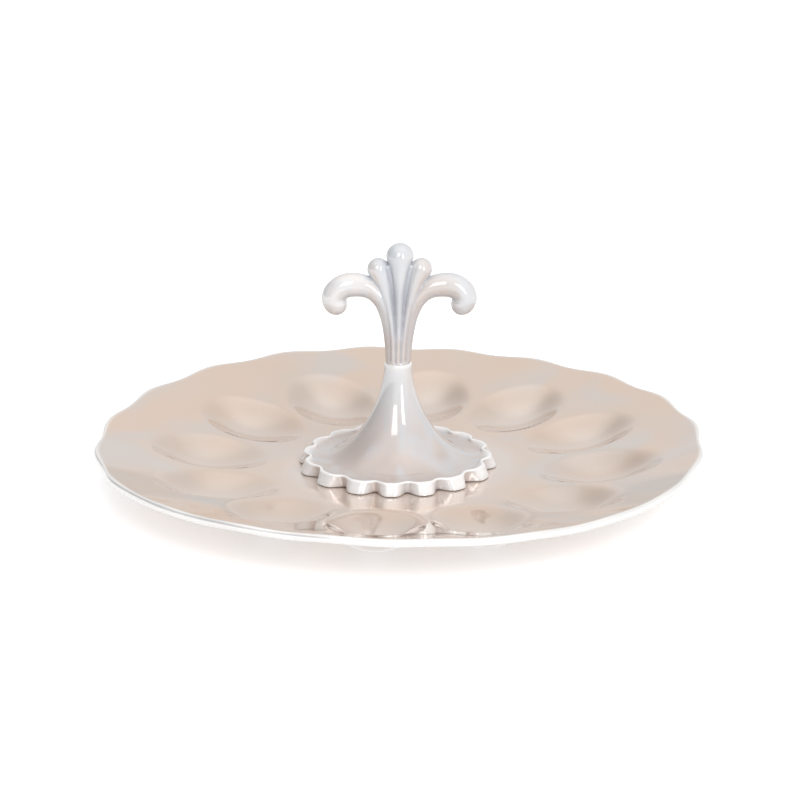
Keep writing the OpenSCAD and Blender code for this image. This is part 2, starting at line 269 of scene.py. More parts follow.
def keep_mask(thing, name, values):
    """Stores one number per vertex, which a material can read as an attribute."""
    mask = thing.data.attributes.new(name, "FLOAT", "POINT")
    mask.data.foreach_set("value", np.clip(values, 0, 1).astype(np.float32))


def apply_modifier(thing, kind, **values):
    """Adds a modifier with these values and applies it."""
    pick(thing)
    modifier = thing.modifiers.new(kind.title(), kind)
    for key, value in values.items():
        setattr(modifier, key, value)
    bpy.ops.object.modifier_apply(modifier=modifier.name)


# %% Wells pressed into the wall
PROBE = 0.5
SLOPE_SHADE = 0.55

place = points_of(dish)
x, y = place[:, 0], place[:, 1]
radius = np.hypot(x, y)
turn = np.degrees(np.arctan2(y, x))
press = well_depth(x, y)
deepest = float(press.max())
steep = np.hypot(well_depth(x + PROBE, y) - press, well_depth(x, y + PROBE) - press)
# painted shade: the steep sides of the wells are darkened
keep_mask(dish, "painted_shade", SLOPE_SHADE * (steep / steep.max()) ** 2)
wells = dish.vertex_groups.new(name="wells")
for number in np.nonzero(press > 0)[0]:
    wells.add([int(number)], float(press[number] / deepest), "REPLACE")
apply_modifier(dish, "DISPLACE", direction="Z", strength=-deepest * MM, mid_level=0.0,
               vertex_group="wells")
print("deepest well in mm:", round(deepest, 2))

# %% [markdown]
# The rim has twenty soft scallops, which swing out and up together. The kiln also bent the rim a
# little, so it isn't flat. A Wave modifier sends ripples outwards, not round an edge, so both are
# added to the points of the spun wall. Three masks are stored for the glaze: it is paler along the
# rim, the wells and the floor get a lighter painted reflection, and the foot ring's underside is bare.

# %% Scallops and the warp of the firing
SCALLOPS, SCALLOP_TURN = 20, 6.5
SCALLOP_UP, UP_BAND = 0.6, 35
SCALLOP_OUT, OUT_BAND = 1, 12
WARP, WARP_FROM, WARP_POWER = 1.1, 66, 1.5
RIM_PALE = (DISH_R - 2.8, DISH_R - 1.7)
FLOOR_SHEEN = (68, 58)
FOOT_BARE, FOOT_REACH = (1.4, 0.4), 70


def smooth(thing, degrees):
    """Smooth shading, with edges sharper than this angle kept crisp."""
    pick(thing)
    bpy.ops.object.shade_smooth_by_angle(angle=math.radians(degrees))


place = points_of(dish)
wave = np.cos(SCALLOPS * np.radians(turn - SCALLOP_TURN))
angle = np.radians(turn)
bend = np.cos(3 * angle) - np.cos(2 * angle) + 0.5 * np.sin(3 * angle)
warp = WARP * bend * (np.clip(radius - WARP_FROM, 0, None) / (DISH_R - WARP_FROM)) ** WARP_POWER
outward = 1 + SCALLOP_OUT * wave * ramp(radius, DISH_R - OUT_BAND, DISH_R) ** 2 / DISH_R
place[:, 0] *= outward
place[:, 1] *= outward
place[:, 2] += warp + SCALLOP_UP * wave * ramp(radius, DISH_R - UP_BAND, DISH_R) ** 2
move_points(dish, place)
# paler along the rim
keep_mask(dish, "pale_and_highlight", ramp(radius, *RIM_PALE))
# painted reflection: the wells and the floor round the handle are lighter
keep_mask(dish, "painted_tone", np.maximum(press / deepest, ramp(radius, *FLOOR_SHEEN)))
keep_mask(dish, "unglazed", ramp(place[:, 2], *FOOT_BARE) * (radius < FOOT_REACH))
smooth(dish, degrees=50)
report(dish)
print("lowest underside of a well in mm:", round(float(place[radius > FOOT_REACH][:, 2].min()), 2))

# %% [markdown]
# ## The base of the handle
#
# The base is a hollow trumpet with a thick scalloped flange, which stands on the dish. A cylinder
# could be scaled ring by ring, but its hollow would then be a second shape to fit inside. As one
# closed section, the outside, the rolled lip, the skirt and the hollow are one skin. The cone is a
# Bezier curve, and the hollow follows it at the thickness of the wall.

# %% Measures of the base and the curve of its cone
BASE_Z, NECK_Z, NECK_R = 11.4, 68.2, 7.4
SHOULDER_H, SHOULDER_IN = 3, 0.5
CONE_R, CONE_EDGE_Z = 38, BASE_Z + 4.4
CONE_DROP, CONE_LEAN, CONE_PULL = 32.5, 2.2, 5
WALL_BASE = 4.0
HOLLOW_R, FLANGE_R = 31, 36.7
WASHER_R, WASHER_SUNK = 5.8, 0.3
LIP_R, LIP_Z = 49.1, 17.5
SKIRT_R, SKIRT_Z = 50.1, 10.8


def bezier(points, t):
    """The place on a Bezier curve of four points, where t runs from 0 to 1."""
    a, b, c, d = (np.array(p, float) for p in points)
    return (1 - t) ** 3 * a + 3 * t * (1 - t) ** 2 * b + 3 * t * t * (1 - t) * c + t ** 3 * d


def bezier_slope(points, t):
    """The direction of the curve there, with a length of 1."""
    a, b, c, d = (np.array(p, float) for p in points)
    step = (1 - t) ** 2 * (b - a) + 2 * t * (1 - t) * (c - b) + t * t * (d - c)
    return step / np.linalg.norm(step)


cone = [(NECK_R, NECK_Z - SHOULDER_H), (NECK_R + CONE_LEAN, NECK_Z - SHOULDER_H - CONE_DROP),
        (CONE_R - CONE_PULL, CONE_EDGE_Z), (CONE_R, CONE_EDGE_Z)]
cone_line = [tuple(bezier(cone, t)) for t in np.linspace(0, 1, 46)[1:-1]]
inner_line = []
for t in np.linspace(1, 0, 30):
    (x, z), (dx, dz) = bezier(cone, t), bezier_slope(cone, t)
    x, z = x + WALL_BASE * dz, z - WALL_BASE * dx
    if BORE_R + 0.1 < x < HOLLOW_R:
        inner_line.append((x, z))
print("points on the cone and in its hollow:", len(cone_line), len(inner_line))

# %% [markdown]
# The rest of the outline is short: the rounded neck with the seat of its washer, the flat between
# the cone and the lip, the rolled lip with its skirt, and the ring that stands on the gasket.

# %% Section of the base, spun round
PLATE = [(0, -0.05), (3, -0.15), (6, -0.1), (7.6, 0.2)]
LIP = [(-2.6, -0.75), (-1.9, -0.18), (-1.2, 0), (-0.5, -0.14), (-0.1, -0.5), (0, -1.1), (0.2, -2.4),
       (0.5, -3.8)]
SKIRT = [(-0.1, 1.0), (-0.25, 0.35), (-0.8, 0)]

neck_line = [(BORE_R, NECK_Z - WASHER_SUNK), (WASHER_R, NECK_Z - WASHER_SUNK), (WASHER_R, NECK_Z)]
neck_line += [(NECK_R - SHOULDER_IN * (1 - math.sin(t)), NECK_Z - SHOULDER_H * (1 - math.cos(t)))
              for t in np.linspace(0, math.pi / 2, 12)]
plate_line = [(CONE_R + out, CONE_EDGE_Z + up) for out, up in PLATE]
lip_line = [(LIP_R + out, LIP_Z + up) for out, up in LIP]
skirt_line = [(SKIRT_R + out, SKIRT_Z + up) for out, up in SKIRT]
under_line = [(44, SKIRT_Z), (40, SKIRT_Z), (FLANGE_R, SKIRT_Z), (FLANGE_R, BASE_Z), (HOLLOW_R, BASE_Z)]
bore_line = [(BORE_R, inner_line[-1][1])]
base = lay_section("handle_base_glazed", neck_line + cone_line + plate_line + lip_line + skirt_line
                   + under_line + inner_line + bore_line)
spin_round(base, steps=384)
report(base)

# %% [markdown]
# Sixteen lobes push the lip and the skirt out and in, more at the skirt than at the lip. Their
# spacing wanders a little, as if they were cut by hand. The whole handle also leans, so its points
# move sideways by their height. The masks paint highlights on the neck, the lip and the lobe fronts,
# with painted shade in the valleys, low on the cone and on the flange.

# %% Lobes of the flange and the lean of the handle
LOBES, LOBE_TURN, LOBE_FROM = 16, -4.5, 45
LIP_LOBE, SKIRT_LOBE = 1.5, 3.4
WANDER, WANDER_TURN = 2, 26
LEAN = [(BASE_Z, -1.1), (NECK_Z, -0.6), (133, 0.5)]
PAINTED_HIGHLIGHT, JOINT_FADE, JOINT_BAND = 0.9, 2.4, 12
WALL_HIGHLIGHT, LOBE_HIGHLIGHT = 0.45, 0.4
LIP_TOP_Z = LIP_Z - 0.9
CONE_SHADE = (52, 22)


def lean_shift(heights):
    """How far to the right the handle stands at these heights."""
    return np.interp(heights, [z for z, shift in LEAN], [shift for z, shift in LEAN])


place = points_of(base)
radius = np.hypot(place[:, 0], place[:, 1])
angle = np.arctan2(place[:, 1], place[:, 0])
wander = math.radians(WANDER) * np.sin(3 * (angle + math.radians(WANDER_TURN)))
lobe = 1 - 2 * ((1 - np.cos(LOBES * (angle - math.radians(LOBE_TURN) - wander))) / 2) ** 2
start = ramp(radius, LOBE_FROM, LIP_R - 1.2)
start = start * start * (3 - 2 * start)
down = ramp(place[:, 2], LIP_Z, SKIRT_Z)
amount = start * (LIP_LOBE + (SKIRT_LOBE - LIP_LOBE) * down) * lobe
place[:, 0] += amount * np.cos(angle)
place[:, 1] += amount * np.sin(angle)
place[:, 0] += lean_shift(place[:, 2])
move_points(base, place)
height = place[:, 2]
# painted highlights on the neck, the lip and the lobe fronts; the valleys keep a painted shade
joint_highlight = np.exp(-np.clip(NECK_Z - height, 0, None) / JOINT_FADE) * (height > NECK_Z - JOINT_BAND)
lip_highlight = PAINTED_HIGHLIGHT * start * (height > LIP_TOP_Z)
wall_highlight = start * (WALL_HIGHLIGHT + LOBE_HIGHLIGHT * lobe) * (height <= LIP_TOP_Z)
keep_mask(base, "pale_and_highlight", np.maximum(PAINTED_HIGHLIGHT * joint_highlight, lip_highlight + wall_highlight))
# painted shade low on the cone and on the flange
keep_mask(base, "painted_tone", ramp(height, *CONE_SHADE))
smooth(base, degrees=50)
print("widest lobe in mm from the axis:", round(float(np.max(np.hypot(place[:, 0], place[:, 1]))), 1))

# %% [markdown]
# ## The plume
#
# The finial is five flutes that rise side by side from a collar: one straight up with a ball on
# top, one to each side with a smaller ball, and an arm to each side that curls over. Bevelled
# curves could make them, but a flute is deeper than it is wide and ends in a ball. So each flute
# starts as a sphere whose rings are drawn out along the flute's path, like a roll of clay.

# %% Flutes drawn out along their paths
STEM_R = 7.1
PLUME_Z = NECK_Z + 0.1
CREST = [[(0, -2), (0, 23.1), (0, 40.5), (0, 57.8)]]
SIDE = [[(2.7, -2), (2.7, 22.5), (6.3, 38.9), (11.3, 51.2)]]
ARM = [[(4.7, -2), (4.7, 27.3), (6.8, 42.6), (24.6, 42.6)],
       [(24.6, 42.6), (31.5, 42.6), (36.4, 37.1), (33.9, 32.6)]]
RINGS, CAP_RINGS = 64, 10


def draw_out(name, path, foot, ball, swell, mirrored=False):
    """Draws a sphere out along a path, given in mm above the neck. The last rings close its end.

    foot is half its width and half its depth at the bottom, ball the radius of its end, and a
    higher swell keeps it slim for longer.
    """
    bpy.ops.object.select_all(action="DESELECT")
    bpy.ops.mesh.primitive_uv_sphere_add(segments=48, ring_count=RINGS, radius=1)
    flute = bpy.context.object
    flute.name = name
    made = []
    for vertex in flute.data.vertices:
        ring = RINGS * (1 - math.acos(max(-1, min(1, vertex.co.z))) / math.pi)
        around = math.atan2(vertex.co.y, vertex.co.x)
        whole = min(ring / (RINGS - CAP_RINGS), 1) * len(path)
        part = min(int(whole), len(path) - 1)
        t = whole - part
        middle = bezier(path[part], t)
        ahead = bezier_slope(path[part], t)
        grown = t if part == 0 else 1
        across = foot[0] + (ball - foot[0]) * grown ** swell
        deep = foot[1] + (ball - foot[1]) * grown
        if ring > RINGS - CAP_RINGS:
            tilt = (ring - RINGS + CAP_RINGS) / CAP_RINGS * math.pi / 2
            middle = middle + ball * math.sin(tilt) * ahead
            across = deep = ball * math.cos(tilt)
        if ring < 0.5:
            across = deep = 0
        x = middle[0] + across * math.cos(around) * ahead[1]
        z = middle[1] - across * math.cos(around) * ahead[0]
        made.append((-x if mirrored else x, deep * math.sin(around), PLUME_Z + z))
    move_points(flute, np.array(made))
    pick(flute)
    bpy.ops.object.mode_set(mode="EDIT")
    bpy.ops.mesh.select_all(action="SELECT")
    bpy.ops.mesh.normals_make_consistent(inside=False)
    bpy.ops.object.mode_set(mode="OBJECT")
    return flute


crest = draw_out("crest", CREST, foot=(2.6, 7.1), ball=7.4, swell=4.5)
sides = [draw_out("side_lobe", SIDE, foot=(2.4, 6.5), ball=5.9, swell=2.5, mirrored=m) for m in (False, True)]
arms = [draw_out("arm", ARM, foot=(2.45, 4.7), ball=6.5, swell=1, mirrored=m) for m in (False, True)]
print("flutes:", 1 + len(sides) + len(arms))

# %% [markdown]
# A thin web fills the corners between the flutes. Half of its outline is written down, the other
# half mirrors it, and the face between them is extruded to the web's thickness. A collar rounds off
# the foot of the stem, and a core keeps the stem whole round the insert.

# %% The web behind the flutes, the collar and the core
WEB_T = 7
WEB_RIGHT = [(5.6, -2), (6.6, 26), (10, 34.7), (16, 42.8), (11.6, 48.6), (6.2, 53.8)]
SUNK = 2
COLLAR_H, CORE_R, CORE_H = 0.8, 6.1, 16

web_points = WEB_RIGHT + [(-x, z) for x, z in reversed(WEB_RIGHT)]
bpy.ops.object.select_all(action="DESELECT")
bpy.ops.mesh.primitive_circle_add(vertices=len(web_points), radius=MM, fill_type="NGON")
web = bpy.context.object
web.name = "web"
for vertex, (x, z) in zip(web.data.vertices, web_points):
    vertex.co = (x * MM, -WEB_T / 2 * MM, (PLUME_Z + z) * MM)
pick(web)
bpy.ops.object.mode_set(mode="EDIT")
bpy.ops.mesh.select_all(action="SELECT")
bpy.ops.mesh.extrude_region_move(TRANSFORM_OT_translate={"value": (0, WEB_T * MM, 0)})
bpy.ops.mesh.select_all(action="SELECT")
bpy.ops.mesh.normals_make_consistent(inside=False)
bpy.ops.object.mode_set(mode="OBJECT")


def upright(name, radius, low, high, corners=96):
    """A cylinder or prism round the upright axis, from a low to a high place."""
    bpy.ops.object.select_all(action="DESELECT")
    bpy.ops.mesh.primitive_cylinder_add(vertices=corners, radius=radius * MM, depth=(high - low) * MM,
                                        location=(0, 0, (low + high) / 2 * MM))
    bpy.ops.object.transform_apply(location=True, rotation=True, scale=True)
    made = bpy.context.object
    made.name = name
    return made


collar = upright("collar", STEM_R, PLUME_Z - SUNK, PLUME_Z + COLLAR_H)
core = upright("core", CORE_R, PLUME_Z - SUNK, PLUME_Z + CORE_H)
print("corners of the web:", len(web_points))

# %% [markdown]
# The pieces are joined and remeshed into one skin. A Boolean union would leave sharp seams between
# the flutes, but a voxel remesh and a little smoothing fill them the way that glaze does.

# %% One skin for the plume
VOXEL = 0.36

plume = crest
bpy.ops.object.select_all(action="DESELECT")
for piece in [crest, web, collar, core] + sides + arms:
    piece.select_set(True)
bpy.context.view_layer.objects.active = plume
bpy.ops.object.join()
plume.name = "handle_plume_glazed"
apply_modifier(plume, "REMESH", mode="VOXEL", voxel_size=VOXEL * MM)
apply_modifier(plume, "SMOOTH", factor=0.5, iterations=9)
report(plume)

# %% [markdown]
# Shade is painted into the grooves, and the crests are paler. The Pointiness of the Geometry node could
# tell them apart, but it changes with the density of the mesh. So a copy of the skin is smoothed
# hard, and the distance between the two is stored on the points. The middle of the plume and the
# foot of the stem get a little painted shade, and the left arm a painted highlight.

# %% Grooves and crests of the plume
GROOVE, GROOVE_SHADE = (-0.05, 0.25), 0.9
MIDDLE_LOW, MIDDLE_TOP, MIDDLE_OUT, MIDDLE_SHADE = (8, 18), (48, 38), (11.7, 2.7), 0.45
RIDGE, LEFT_ARM, LEFT_HIGHLIGHT = (0.1, 0.6), (9.6, 21.6), 0.4
STEM_SHADE, SHADE_MOST = (22, 6), 0.6

skin = points_of(plume)
normals = np.empty(len(plume.data.vertices) * 3)
plume.data.vertices.foreach_get("normal", normals)
pick(plume)
bpy.ops.object.duplicate()
soft_copy = bpy.context.object
apply_modifier(soft_copy, "SMOOTH", factor=0.5, iterations=60)
sunk = np.sum((points_of(soft_copy) - skin) * normals.reshape(-1, 3), axis=1)
bpy.data.objects.remove(soft_copy)
above = skin[:, 2] - NECK_Z
middle = ramp(above, *MIDDLE_LOW) * ramp(above, *MIDDLE_TOP) * ramp(np.abs(skin[:, 0]), *MIDDLE_OUT)
# painted shade in the grooves and over the middle of the plume
keep_mask(plume, "painted_shade", np.maximum(GROOVE_SHADE * ramp(sunk, *GROOVE), MIDDLE_SHADE * middle))
# painted shade at the foot of the stem
keep_mask(plume, "painted_tone", np.minimum(ramp(above, *STEM_SHADE), SHADE_MOST))
# paler crests, and a painted highlight on the left arm
keep_mask(plume, "pale_and_highlight", np.maximum(ramp(-sunk, *RIDGE), LEFT_HIGHLIGHT * ramp(-skin[:, 0], *LEFT_ARM)))
print("deepest groove in mm:", round(float(sunk.max()), 2))

# %% [markdown]
# Smoothing lowers the crest, so it is brought back to its measured height. The stem is drawn in a
# little, because the photograph shows it slimmer than the collar, and the whole leans with the
# handle. The foot is then cut flat by a bisect, which fills the cut, and a cylinder cuts the bore
# for the insert. Points that the cuts leave almost on top of each other are welded.

# %% Height, foot and bore of the plume
SLIM, SLIM_BAND = 0.07, (34, 8)
INSERT_R, INSERT_H = 4.56, 12.8
WELD = 0.01


def weld(thing, gap):
    """Merges points that lie closer than this gap, in millimetres."""
    pick(thing)
    bpy.ops.object.mode_set(mode="EDIT")
    bpy.ops.mesh.select_all(action="SELECT")
    bpy.ops.mesh.remove_doubles(threshold=gap * MM)
    bpy.ops.object.mode_set(mode="OBJECT")


slim = 1 - SLIM * ramp(above, *SLIM_BAND)
skin[:, 0] *= slim
skin[:, 1] *= slim
skin[:, 2] *= cad_box[1][2] / MM / skin[:, 2].max()
skin[:, 0] += lean_shift(skin[:, 2])
move_points(plume, skin)
pick(plume)
bpy.ops.object.mode_set(mode="EDIT")
bpy.ops.mesh.select_all(action="SELECT")
bpy.ops.mesh.bisect(plane_co=(0, 0, PLUME_Z * MM), plane_no=(0, 0, 1), use_fill=True, clear_inner=True)
bpy.ops.object.mode_set(mode="OBJECT")
bore = upright("bore", INSERT_R, PLUME_Z - 4, PLUME_Z + INSERT_H)
apply_modifier(plume, "BOOLEAN", operation="DIFFERENCE", solver="EXACT", object=bore)
bpy.data.objects.remove(bore)
weld(plume, WELD)
smooth(plume, degrees=50)
report(plume)

# %% [markdown]
# ## Glaze
#
# Pearl lustre is a clear glaze with a very thin metal oxide film. It is bright and smooth, its
# colour drifts between peach, warm grey and pale blue, and it mirrors more than plain glass does.
# Painted pictures could show it, but the dish and the handle share it with different colours, so it
# is one node group. First come short helpers that add a node and link or set its sockets.

# %% Helpers for node trees
def new_group(name, inputs, outputs):
    """A node group with these named inputs and outputs, and its two end nodes."""
    group = bpy.data.node_groups.new(name, "ShaderNodeTree")
    for title, kind, value in inputs:
        socket = group.interface.new_socket(title, in_out="INPUT", socket_type=kind)
        socket.default_value = value
    for title, kind in outputs:
        group.interface.new_socket(title, in_out="OUTPUT", socket_type=kind)
    return group, group.nodes.new("NodeGroupInput"), group.nodes.new("NodeGroupOutput")


def feed(tree, value, socket):
    """Links another node's output to a socket, or sets a plain value on it."""
    if isinstance(value, bpy.types.NodeSocket):
        tree.links.new(value, socket)
    else:
        socket.default_value = value


def blend_colours(tree, factor, first, second):
    """A Mix node for colours, which shows the first at 0 and the second at 1."""
    node = tree.nodes.new("ShaderNodeMix")
    node.data_type = "RGBA"
    for name, kind, value in (("Factor", "VALUE", factor), ("A", "RGBA", first), ("B", "RGBA", second)):
        feed(tree, value, [s for s in node.inputs if s.name == name and s.type == kind][0])
    return [s for s in node.outputs if s.type == "RGBA"][0]


def number_math(tree, operation, *values, clamp=False):
    """A Math node on one or two numbers."""
    node = tree.nodes.new("ShaderNodeMath")
    node.operation = operation
    node.use_clamp = clamp
    for socket, value in zip(node.inputs, values):
        feed(tree, value, socket)
    return node.outputs[0]


def noise(tree, where, scale, detail, distortion=0.0):
    """Soft noise at these coordinates, from 0 to 1. A higher scale is finer."""
    node = tree.nodes.new("ShaderNodeTexNoise")
    tree.links.new(where, node.inputs["Vector"])
    node.inputs["Scale"].default_value = scale
    node.inputs["Detail"].default_value = detail
    node.inputs["Distortion"].default_value = distortion
    return node.outputs["Fac"]


def spread(tree, value, low, high, to_low=0.0, to_high=1.0):
    """Turns the range from low to high into another one, with soft ends."""
    node = tree.nodes.new("ShaderNodeMapRange")
    node.interpolation_type = "SMOOTHSTEP"
    tree.links.new(value, node.inputs["Value"])
    for name, number in (("From Min", low), ("From Max", high), ("To Min", to_low), ("To Max", to_high)):
        node.inputs[name].default_value = number
    return node.outputs["Result"]


def read_mask(tree, name):
    """The number that keep_mask stored on the points under this name."""
    node = tree.nodes.new("ShaderNodeAttribute")
    node.attribute_name = name
    return node.outputs["Fac"]


# %% [markdown]
# The clouds of peach and blue are two soft noises in object coordinates, each with its scale, its
# distortion, and the part of the noise that it fades in over. Stretch draws them out in one
# direction, like runs of glaze, and Drift says how strong they are. Where the painted tone lies, a
# lighter painted reflection on the dish and painted shade low on the handle, that tone shows and the
# clouds are weaker.

# %% Lustre group: clouds of colour over the painted tone
TONE_SHOWS, CLOUDS_LOSE = 0.8, 0.6
CLOUDS = (("Peach", 15, 0.6, 0.36, 0.7), ("Blue", 19, 0.8, 0.45, 0.75))

lustre, into, out = new_group(
    "lustre_glaze",
    [("Body", "NodeSocketColor", (0.8, 0.7, 0.65, 1)), ("Peach", "NodeSocketColor", (0.85, 0.68, 0.58, 1)),
     ("Blue", "NodeSocketColor", (0.7, 0.74, 0.8, 1)), ("Tone", "NodeSocketColor", (0.7, 0.6, 0.55, 1)),
     ("Shade", "NodeSocketColor", (0.5, 0.5, 0.55, 1)), ("Pale", "NodeSocketColor", (0.95, 0.94, 0.92, 1)),
     ("Drift", "NodeSocketFloat", 1.0), ("Stretch", "NodeSocketVector", (1, 1, 1))],
    [("Color", "NodeSocketColor"), ("Roughness", "NodeSocketFloat"), ("Height", "NodeSocketFloat"),
     ("Glazed", "NodeSocketFloat")])
where = lustre.nodes.new("ShaderNodeTexCoord").outputs["Object"]
stretched = lustre.nodes.new("ShaderNodeVectorMath")
stretched.operation = "MULTIPLY"
lustre.links.new(where, stretched.inputs[0])
lustre.links.new(into.outputs["Stretch"], stretched.inputs[1])
# the painted tone: a lighter painted reflection on the dish, painted shade low on the handle
tone_share = number_math(lustre, "MULTIPLY", read_mask(lustre, "painted_tone"), TONE_SHOWS)
cloud_share = number_math(lustre, "SUBTRACT", 1.0, number_math(lustre, "MULTIPLY", tone_share, CLOUDS_LOSE))
colour = blend_colours(lustre, tone_share, into.outputs["Body"], into.outputs["Tone"])
for cloud_colour, scale, distortion, low, high in CLOUDS:
    cloud = spread(lustre, noise(lustre, stretched.outputs[0], scale, 1, distortion), low, high)
    cloud = number_math(lustre, "MULTIPLY", cloud, into.outputs["Drift"], clamp=True)
    cloud = number_math(lustre, "MULTIPLY", cloud, cloud_share)
    colour = blend_colours(lustre, cloud, colour, into.outputs[cloud_colour])
print("nodes for the clouds:", len(lustre.nodes))

# %% [markdown]
# Over the clouds lie three masks of the points: painted shade in grooves and on steep slopes, pale
# edges with painted highlights, and the foot, which has no glaze at all and shows speckled clay.
# Roughness follows a faint smear, and Height a ripple with a fine grain in it, which a Bump node in
# the material turns into shading.

# %% Lustre group: painted shade, pale edges, painted highlights, bare clay and ripple
DARK_CLAY, PALE_CLAY, CLAY_ROUGH = (0.62, 0.56, 0.49, 1), (0.74, 0.69, 0.62, 1), 0.8
FINE_SHARE = 0.12

unglazed = read_mask(lustre, "unglazed")
# painted shade, then pale edges and painted highlights, over the clouds
colour = blend_colours(lustre, read_mask(lustre, "painted_shade"), colour, into.outputs["Shade"])
colour = blend_colours(lustre, read_mask(lustre, "pale_and_highlight"), colour, into.outputs["Pale"])
speckle = spread(lustre, noise(lustre, where, scale=900, detail=2), 0.3, 0.7)
clay = blend_colours(lustre, speckle, DARK_CLAY, PALE_CLAY)
lustre.links.new(blend_colours(lustre, unglazed, colour, clay), out.inputs["Color"])
smear = noise(lustre, where, scale=140, detail=3, distortion=0.4)
rough = spread(lustre, smear, 0.35, 0.7, to_low=0.06, to_high=0.12)
clay_rough = number_math(lustre, "MULTIPLY", unglazed, CLAY_ROUGH)
lustre.links.new(number_math(lustre, "MAXIMUM", rough, clay_rough), out.inputs["Roughness"])
glazed = number_math(lustre, "SUBTRACT", 1.0, unglazed, clamp=True)
lustre.links.new(glazed, out.inputs["Glazed"])
ripple = noise(lustre, where, scale=60, detail=2, distortion=0.3)
fine = number_math(lustre, "MULTIPLY", noise(lustre, where, scale=420, detail=2), FINE_SHARE)
lustre.links.new(number_math(lustre, "ADD", ripple, fine), out.inputs["Height"])
print("nodes in the lustre group:", len(lustre.nodes))

# %% [markdown]
# Each glaze is a material that holds the group with values of its own. A share of Metallic gives the
# sheen of the oxide film, and the coat is the clear glaze. On the dish both end where the foot is
# bare, so they are linked through Glazed. On the handle they are plain values of the shader.

# %% Materials of the dish and the handle
def principled(name, **values):
    """A material with a Principled BSDF. Its values are named as its sockets, with underscores."""
    material = bpy.data.materials.new(name)
    material.use_nodes = True
    shader = material.node_tree.nodes["Principled BSDF"]
    for socket, value in values.items():
        shader.inputs[socket.replace("_", " ")].default_value = value
    return material, material.node_tree, shader


def place_group(tree, shader, shared, values, bump, distance):
    """Puts a shared group in a material, with its own values, and links what it gives."""
    group = tree.nodes.new("ShaderNodeGroup")
    group.node_tree = shared
    for socket, value in values.items():
        group.inputs[socket].default_value = value
    tree.links.new(group.outputs["Color"], shader.inputs["Base Color"])
    tree.links.new(group.outputs["Roughness"], shader.inputs["Roughness"])
    swell = tree.nodes.new("ShaderNodeBump")
    swell.inputs["Strength"].default_value = bump
    swell.inputs["Distance"].default_value = distance
    tree.links.new(group.outputs["Height"], swell.inputs["Height"])
    tree.links.new(swell.outputs["Normal"], shader.inputs["Normal"])
    return group


SWELL = 0.0006
# the lighter tone is a painted reflection in the wells, the brown a painted shade on their slopes
warm = {"Body": (0.76, 0.62, 0.52, 1), "Peach": (0.78, 0.61, 0.50, 1), "Blue": (0.70, 0.64, 0.60, 1),
        "Tone": (0.785, 0.705, 0.655, 1), "Shade": (0.59, 0.475, 0.395, 1), "Pale": (0.95, 0.93, 0.91, 1),
        "Drift": 0.85, "Stretch": (1, 1, 1)}
dish_glaze, tree, shader = principled("warm_lustre", IOR=1.6, Metallic=0.55, Coat_Weight=0.5,
                                      Coat_Roughness=0.02, Coat_IOR=1.5)
group = place_group(tree, shader, lustre, warm, bump=0.1, distance=SWELL)
for socket in ("Metallic", "Coat Weight"):
    share = number_math(tree, "MULTIPLY", group.outputs["Glazed"], shader.inputs[socket].default_value)
    tree.links.new(share, shader.inputs[socket])
# the darker tone is painted shade low on the handle, the blue grey painted shade in the grooves
cool = {"Body": (0.69, 0.695, 0.71, 1), "Peach": (0.68, 0.60, 0.56, 1), "Blue": (0.60, 0.645, 0.70, 1),
        "Tone": (0.53, 0.435, 0.39, 1), "Shade": (0.44, 0.46, 0.51, 1), "Pale": (0.95, 0.945, 0.94, 1),
        "Drift": 1.0, "Stretch": (3, 3, 0.8)}
handle_glaze, tree, shader = principled("cool_lustre", IOR=1.55, Metallic=0.22, Coat_Weight=0.4,
                                        Coat_Roughness=0.03, Coat_IOR=1.5)
place_group(tree, shader, lustre, cool, bump=0.05, distance=SWELL)
print("glazes:", dish_glaze.name, handle_glaze.name)

# %% [markdown]
# Each new piece takes its material, hides the measured solid that it stands for, and rides on the one
# body that the platter has.

# %% Pieces take their finish and ride on the body
def dress(piece, material, node):
    """Gives a piece its material, hides the solid that it stands for, and puts it on its body."""
    piece.data.materials.clear()
    piece.data.materials.append(material)
    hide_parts(node)
    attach(piece, "root")
    print(piece.name, "stands for", node)


dress(dish, dish_glaze, "dish")
dress(base, handle_glaze, "handle_base")
dress(plume, handle_glaze, "handle_plume")

# %% [markdown]
# ## Hidden fixings
#
# The fixings show only from below, in the recess under the dish. The nut could be a prism with
# bevelled edges, but the chamfer of a real nut is round. So here a hexagon cuts a spun ring, whose
# slanted faces leave that chamfer on the six corners.

# %% Nut
NUT_W, NUT_H, NUT_LOW = 10, 5, 7.2
NUT_TOP, NUT_CORNER = NUT_LOW + NUT_H, NUT_W / 2 / math.cos(math.pi / 6)
NUT_FACE_R, NUT_CHAMFER = NUT_W / 2 - 0.3, 0.75
ROD_R = 3
NUT_HOLE_R = ROD_R + 0.05

low_face = [(NUT_HOLE_R, NUT_LOW), (NUT_FACE_R, NUT_LOW), (NUT_CORNER, NUT_LOW + NUT_CHAMFER)]
top_face = [(NUT_CORNER, NUT_TOP - NUT_CHAMFER), (NUT_FACE_R, NUT_TOP), (NUT_HOLE_R, NUT_TOP)]
nut = lay_section("nut_chamfered", low_face + top_face)
spin_round(nut, steps=60)
hexagon = upright("hexagon", NUT_CORNER, NUT_LOW - 1, NUT_TOP + 1, corners=6)
apply_modifier(nut, "BOOLEAN", operation="INTERSECT", solver="EXACT", object=hexagon)
bpy.data.objects.remove(hexagon)
weld(nut, WELD)
smooth(nut, degrees=20)
report(nut)

# %% [markdown]
# The rod has a thread near both ends. A Screw modifier could draw one out, but its ends would be
# open. Here the rod is spun from a section with four rings for each turn of the thread, and its
# points then move in along a spiral.

# %% Threaded rod
ROD_LOW, ROD_TOP, ROD_CHAMFER = 6.2, 80.8, 0.6
THREAD_PITCH, THREAD_CUT = 1, 0.32
LOW_THREAD_TO, HIGH_THREAD_FROM = 20, 62

